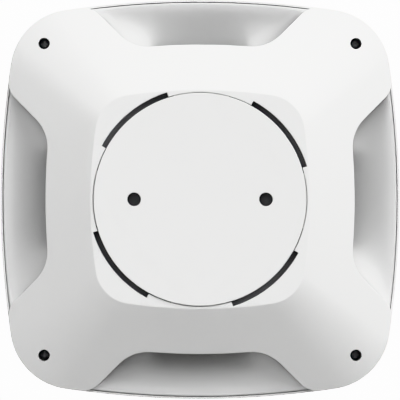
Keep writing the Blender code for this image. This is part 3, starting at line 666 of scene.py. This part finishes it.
def air_guide():
    """The ring behind the rim and its four scoops."""
    edge = cover_outline()
    outer = on_rays(edge, CASE.radius)
    lip = inset(outer, GUIDE_LIP_INSET)
    inner = inset(edge, GUIDE_INNER_INSET)
    rim = [at(inset(outer, GUIDE_OUTER_INSET + depth), RIM_TOP - drop)
           for depth, drop in reversed(rounding(GUIDE_EDGE, 3))]
    shares = [i / 14 for i in range(1, 15)]
    top = [scoop_ring(lip, inner, share) for share in shares]
    under = [scoop_ring(lip, inner, share, GUIDE_THICK) for share in (1.0, 0.7, 0.4)]
    foot = [at(inset(outer, depth), GUIDE_RING_BOTTOM) for depth in (GUIDE_STEP_INSET, GUIDE_OUTER_INSET)]
    skin = Skin()
    made = skin.rings(*rim, at(lip, RIM_TOP), *top, *under, *foot)
    skin.bridge(made[-1], made[0])
    # the scoops take the greyed plastic, painted shade for the recesses
    return hand_over(skin.made("air_guide_scoops"), "grey_guide", "housing", "air_guide")


# ---------------------------------------------------------------- front cover


def bezier(points, steps):
    """Points along a cubic curve, both ends included."""
    a, b, c, d = map(Vector, points)
    made = []
    for i in range(steps + 1):
        t = i / steps
        u = 1 - t
        made.append(tuple(a * u**3 + 3 * b * u * u * t + 3 * c * u * t * t + d * t**3))
    return made


def round_hole(skin, radius, place, edge, front, back, steps):
    """The walls of a hole through the front face, rounded at its mouth: (front ring, back ring)."""
    mouth = [at(circle(radius + depth, place, steps), front + drop) for depth, drop in rounding(edge, 3)]
    made = skin.rings(*mouth, at(circle(radius, place, steps), back))
    return made[0], made[-1]


def front_inner_height(x, y, profile):
    """Height of the front cover's inner skin at a point near a corner."""
    reach = math.hypot(abs(x) - CASE.corner, abs(y) - CASE.corner)
    depth = CASE_CORNER_RADIUS - reach
    for (inset_a, height_a), (inset_b, height_b) in zip(profile, profile[1:]):
        if depth <= inset_b:
            return height_a + (height_b - height_a) * (depth - inset_a) / (inset_b - inset_a)
    return profile[-1][1]


def front_cover():
    """The dished front shell with its rim, the test button's hole and the sounder's holes."""
    outline = eight_fold(CASE.octant(12, 14))
    rim = [(depth, RIM_TOP - drop) for depth, drop in rounding(RIM_EDGE, 3)]
    wall = bezier(((0.0, RIM_TOP - RIM_EDGE), (0.05, -26.8), (4.5, -30.2),
                   (FRONT_FLAT_INSET, FRONT_FLAT_HEIGHT)), 16)
    back = FRONT_FACE + FRONT_WALL
    inner = bezier(((2.0, -18.3), (2.0, -25.8), (6.0, -28.2), (FRONT_FLAT_INSET + 0.2, back + 0.1)), 10)
    step = [(RIM_WALL, -18.0), (RIM_WALL, RIM_TOP)]
    skin = Skin()
    flat = on_rays(outline, lambda angle: FRONT_FLAT_RADIUS)
    dish = inset(outline, FRONT_FLAT_INSET)
    shallow = [[(x, y, FRONT_FACE + (FRONT_FLAT_HEIGHT - FRONT_FACE) * (1 - share) ** 2)
                for x, y in mixed(dish, flat, share)] for share in (0.25, 0.5, 0.75, 1.0)]
    outer = [at(inset(outline, depth), height) for depth, height in rim + wall[1:]]
    lining = [at(inset(outline, depth), height) for depth, height in list(reversed(inner)) + step]
    outside = skin.rings(*outer, *shallow)
    inside = skin.rings(at(flat, back), *lining)
    skin.bridge(inside[-1], outside[0])
    holes = [round_hole(skin, BUTTON_HOLE, (0.0, 0.0), 0.4, FRONT_FACE, back, ROUND)]
    for i in range(SOUND_HOLES):
        angle = math.tau * i / SOUND_HOLES
        place = (SOUND_HOLE_RING * math.cos(angle), SIREN_Y + SOUND_HOLE_RING * math.sin(angle))
        holes.append(round_hole(skin, SOUND_HOLE_RADIUS, place, 0.2, FRONT_FACE, back, 24))
    skin.fill(outside[-1], *[front for front, _ in holes])
    skin.fill(inside[0], *[rear for _, rear in holes])
    cover = skin.made("front_cover_shell")
    for place in corners(SCREW_PLACE):
        top = circle(FRONT_BOSS_RADIUS, place, 32)
        foot = [(x, y, front_inner_height(x, y, inner) - FRONT_WALL / 2) for x, y in top]
        boss = Skin()
        made = boss.rings(foot, at(top, FRONT_BOSS_TOP))
        boss.cap(made[0])
        boss.cap(made[-1])
        join(cover, boss.made("boss"))
        pilot = [(FRONT_PILOT_RADIUS, FRONT_BOSS_TOP + 1), (FRONT_PILOT_RADIUS, FRONT_PILOT_BOTTOM)]
        cut(cover, turned("pilot", pilot, place, 24))
    return hand_over(cover, "white_shell", "housing", "front_cover")


# ---------------------------------------------------------------- bracket


def mounting_bracket():
    """The twist-lock disc with its two fixing holes, skirt ring and four tabs."""
    inner = BRACKET_RADIUS - BRACKET_SKIRT
    skin = Skin()
    outside = [at(circle(BRACKET_RADIUS - depth, steps=144), -drop) for depth, drop in rounding(BRACKET_EDGE)]
    skirt = [at(circle(radius, steps=144), height) for radius, height in (
        (BRACKET_RADIUS, BRACKET_BOTTOM + 0.2), (BRACKET_RADIUS - 0.2, BRACKET_BOTTOM),
        (inner, BRACKET_BOTTOM), (inner, -BRACKET_THICK))]
    body = skin.rings(*outside, *skirt)
    fronts = []
    backs = []
    for side in (-1, 1):
        place = (side * FIXING_PITCH / 2, 0.0)
        mouth = [at(circle(FIXING_RADIUS + depth, place), -drop) for depth, drop in rounding(FIXING_EDGE)]
        hole = skin.rings(*mouth, at(circle(FIXING_RADIUS, place), -BRACKET_THICK))
        fronts.append(hole[0])
        backs.append(hole[-1])
    skin.fill(body[0], *fronts)
    skin.fill(body[-1], *backs)
    bracket = skin.made("mounting_bracket_disc")
    for quarter in range(4):
        join(bracket, tab(TAB_MIDDLE + 90 * quarter))
    return hand_over(bracket, "white_shell", "bracket", "mounting_bracket")


def tab(middle):
    """One bayonet tab with eased ends."""
    start = math.radians(middle - TAB_HALF)
    end = math.radians(middle + TAB_HALF)
    inner = BRACKET_RADIUS - BRACKET_SKIRT + 0.6
    outline = arc((0.0, 0.0), TAB_RADIUS, start, end, 20) + arc((0.0, 0.0), inner, end, start, 20)
    bottom = BRACKET_BOTTOM + 0.2
    levels = [(0.15, bottom), (0.0, bottom + 0.15), (0.0, TAB_TOP - 0.15), (0.15, TAB_TOP)]
    skin = Skin()
    made = skin.rings(*[at(inset(outline, depth), height) for depth, height in levels])
    skin.cap(made[0])
    skin.cap(made[-1])
    return skin.made("tab")


# ---------------------------------------------------------------- screws, screens and button


def case_screw(number, place):
    """Pan-head screw with a cross recess and a thread."""
    head = SCREW_HEAD_TOP
    profile = [(0.5, head), (1.2, head - 0.06), (1.55, head - 0.3), (1.7, head - 0.7), (1.7, head - 1.5)]
    profile += [(1.0, head - 1.5)]
    pitch = 0.8
    for turn_number in range(8):
        level = head - 2.0 - pitch * turn_number
        profile += [(0.8, level), (1.0, level - 0.3), (1.0, level - 0.4), (0.8, level - 0.7)]
    profile.append((0.3, -28.0))
    screw = turned(f"case_screw_{number}_cross_head", profile, place, 32)
    for across in (Vector((1.0, 0.22, 0)), Vector((0.22, 1.0, 0))):
        blade = Skin()
        outline = [(place[0] + across.x * sx, place[1] + across.y * sy)
                   for sx, sy in ((1, 1), (-1, 1), (-1, -1), (1, -1))]
        made = blade.rings(at(outline, head + 0.5), at(inset(outline, 0.08), head - 0.9))
        blade.cap(made[0])
        blade.cap(made[-1])
        cut(screw, blade.made("blade"))
    return hand_over(screw, "dark_steel", "housing", f"case_screw_{number}")


def wire(skin, path, radius, sides=6):
    """A thin tube along points that stay in one plane of constant X."""
    rings = []
    for i, point in enumerate(path):
        here = Vector(point)
        along = (Vector(path[min(i + 1, len(path) - 1)]) - Vector(path[max(i - 1, 0)])).normalized()
        across = along.cross(Vector((1.0, 0.0, 0.0))).normalized()
        up = across.cross(along)
        rings.append([here + (across * math.cos(a) + up * math.sin(a)) * radius
                      for a in (math.tau * side / sides for side in range(sides))])
    made = skin.rings(*rings)
    skin.cap(made[0])
    skin.cap(made[-1])


def woven_mesh():
    """Plain-woven wire cloth in a folded frame, across the +X inlet."""
    middle = (SCREEN_LOW.x + SCREEN_HIGH.x) / 2
    wide = int((SCREEN_HIGH.y - SCREEN_LOW.y - 2 * SCREEN_BORDER) / WIRE_PITCH)
    tall = int((SCREEN_HIGH.z - SCREEN_LOW.z - 2 * SCREEN_BORDER) / WIRE_PITCH)
    first_y = -(wide - 1) / 2 * WIRE_PITCH
    centre_z = (SCREEN_LOW.z + SCREEN_HIGH.z) / 2
    first_z = centre_z - (tall - 1) / 2 * WIRE_PITCH
    reach_y = (SCREEN_HIGH.y - SCREEN_BORDER / 2)
    reach_z = (SCREEN_HIGH.z - SCREEN_LOW.z - SCREEN_BORDER) / 2
    skin = Skin()
    steps = 4
    for i in range(wide):
        y = first_y + i * WIRE_PITCH
        count = round(2 * reach_z / WIRE_PITCH * steps)
        levels = [centre_z - reach_z + 2 * reach_z * k / count for k in range(count + 1)]
        wave = [math.cos(math.pi * ((z - first_z) / WIRE_PITCH + i)) for z in levels]
        wire(skin, [(middle + WIRE_RADIUS * w, y, z) for z, w in zip(levels, wave)], WIRE_RADIUS)
    for i in range(tall):
        z = first_z + i * WIRE_PITCH
        count = round(2 * reach_y / WIRE_PITCH * steps)
        places = [-reach_y + 2 * reach_y * k / count for k in range(count + 1)]
        wave = [-math.cos(math.pi * ((y - first_y) / WIRE_PITCH + i)) for y in places]
        wire(skin, [(middle + WIRE_RADIUS * w, y, z) for y, w in zip(places, wave)], WIRE_RADIUS)
    screen_frame(skin)
    return skin.made("mesh")


def screen_frame(skin):
    """The folded strip round the wire cloth."""
    low, high = SCREEN_LOW, SCREEN_HIGH
    middle_z = (low.z + high.z) / 2
    half_z = (high.z - low.z) / 2
    rings = []
    for x, border in ((low.x, 0.1), (high.x, 0.1), (high.x, SCREEN_BORDER), (low.x, SCREEN_BORDER)):
        y = high.y - border
        z = half_z - border
        top = middle_z + z
        bottom = middle_z - z
        rings.append([(x, y, top), (x, -y, top), (x, -y, bottom), (x, y, bottom)])
    made = skin.rings(*rings)
    skin.bridge(made[-1], made[0])


def insect_screens():
    for i in range(4):
        screen = turn(woven_mesh(), 90 * i)
        screen.name = f"insect_screen_{i + 1}_wire"
        hand_over(screen, "steel", "housing", f"insect_screen_{i + 1}")


def test_button():
    """Round button with a slightly domed face, a ring groove, a retaining collar and a stem."""
    face = span("test_button")[0].z
    top = span("test_button")[1].z
    groove = 6.2
    profile = [(0.5, face - 0.2), (2.5, face - 0.19), (4.5, face - 0.15), (groove - 0.3, face - 0.1)]
    profile += [(groove - 0.1, face + 0.1), (groove + 0.1, face + 0.1), (groove + 0.3, face - 0.08)]
    profile += [(TEST_RADIUS - 0.7, face), (TEST_RADIUS - 0.25, face + 0.1), (TEST_RADIUS, face + 0.45)]
    profile += [(TEST_RADIUS, -28.7), (TEST_RADIUS + 1.2, -28.7), (TEST_RADIUS + 1.2, -27.9)]
    profile += [(1.6, -27.9), (1.6, top)]
    button = turned("test_button_face", profile, steps=ROUND)
    return hand_over(button, "white_shell", "test_button", "test_button")


def dress_inner_nodes():
    """Give each CAD node that still shows the material of its slot."""
    for row in frame["record"]["subparts"]:
        node = frame["nodes"][row["node"]]
        if node.hide_render:
            continue
        node.data.materials.clear()
        node.data.materials.append(LOOKS[row["material_slot"]])


# ---------------------------------------------------------------- stage, light and camera

# The camera's distance, the sensor and the floor's half width are in metres, millimetres and metres.
CAMERA_DISTANCE = 2.0
CAMERA_OFFSET = 0.2
SENSOR = 36.0
FLOOR_HALF = 40.0
FLOOR_GLOW = 4.0
ROOM_ABOVE = 0.01
ROOM_BELOW = 0.55
ROOM_FADE = (-0.5, 0.0)
PANEL_WIDTH = 40.0
PANELS = {
    # name: (azimuth from +X, elevation, strength)
    "low_upper_right": (45.0, 15.0, 1.0),
    "low_top": (90.0, 15.0, 0.45),
    "low_lower_left": (225.0, 15.0, 0.4),
    "low_bottom": (270.0, 15.0, 0.05),
    "high_upper_right": (45.0, 40.0, 0.3),
    "high_upper_left": (135.0, 40.0, 0.15),
    "high_top": (90.0, 65.0, 0.15),
    "overhead": (0.0, 90.0, 0.1),
}


def studio_floor():
    """Plain table that glows white for the camera and lights nothing."""
    half = FLOOR_HALF
    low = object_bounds()[0].z
    mesh = bpy.data.meshes.new("studio_floor")
    mesh.from_pydata([(-half, -half, low), (half, -half, low), (half, half, low), (-half, half, low)], [],
                     [(0, 1, 2, 3)])
    floor = bpy.data.objects.new("studio_floor", mesh)
    bpy.context.scene.collection.objects.link(floor)
    material, shader, _ = node_material("pale floor", (0.6, 0.6, 0.6), 0.9)
    shader.inputs["Emission Color"].default_value = (1.0, 1.0, 1.0, 1.0)
    shader.inputs["Emission Strength"].default_value = FLOOR_GLOW
    mesh.materials.append(material)
    floor.visible_diffuse = False
    floor.visible_glossy = False
    floor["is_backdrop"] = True


def studio_light():
    """Wide, soft distant lights, strongest from the upper right, and a white room brighter from below."""
    for name, (azimuth, elevation, strength) in PANELS.items():
        data = bpy.data.lights.new(name, "SUN")
        data.energy = math.pi * strength
        data.angle = math.radians(PANEL_WIDTH)
        panel = bpy.data.objects.new(name, data)
        level = math.cos(math.radians(elevation))
        aim = Vector((level * math.cos(math.radians(azimuth)), level * math.sin(math.radians(azimuth)),
                      math.sin(math.radians(elevation))))
        panel.rotation_mode = "QUATERNION"
        panel.rotation_quaternion = aim.to_track_quat("Z", "Y")
        bpy.context.scene.collection.objects.link(panel)
    room_light()
    bpy.context.scene.view_settings.view_transform = "Khronos PBR Neutral"


def room_light():
    """The world: dark above, where the panels are, and pale below, as light comes back off a table."""
    world = bpy.data.worlds.new("studio")
    world.use_nodes = True
    tree = world.node_tree
    coordinates = tree.nodes.new("ShaderNodeTexCoord")
    axes = tree.nodes.new("ShaderNodeSeparateXYZ")
    ramp = tree.nodes.new("ShaderNodeMapRange")
    ramp.inputs["From Min"].default_value = ROOM_FADE[0]
    ramp.inputs["From Max"].default_value = ROOM_FADE[1]
    ramp.inputs["To Min"].default_value = ROOM_BELOW
    ramp.inputs["To Max"].default_value = ROOM_ABOVE
    tree.links.new(coordinates.outputs["Generated"], axes.inputs["Vector"])
    tree.links.new(axes.outputs["Z"], ramp.inputs["Value"])
    tree.links.new(ramp.outputs["Result"], tree.nodes["Background"].inputs["Strength"])
    tree.nodes["Background"].inputs["Color"].default_value = (1.0, 1.0, 1.0, 1.0)
    bpy.context.scene.world = world


def camera():
    """Straight above, a touch below the middle, with the case's full width filling the picture."""
    data = bpy.data.cameras.new("camera")
    data.sensor_width = SENSOR
    data.lens = SENSOR * CAMERA_DISTANCE / (2 * CASE_HALF * MM)
    data.clip_end = 100.0
    view = bpy.data.objects.new("camera", data)
    view.location = (0.0, -CAMERA_OFFSET * MM, CAMERA_DISTANCE + RIM_TOP * MM)
    bpy.context.scene.collection.objects.link(view)
    bpy.context.scene.camera = view


rear_cover()
air_guide()
front_cover()
mounting_bracket()
for screw_number, screw_place in enumerate(corners(SCREW_PLACE)):
    case_screw(screw_number + 1, screw_place)
insect_screens()
test_button()
dress_inner_nodes()
studio_floor()
studio_light()
camera()
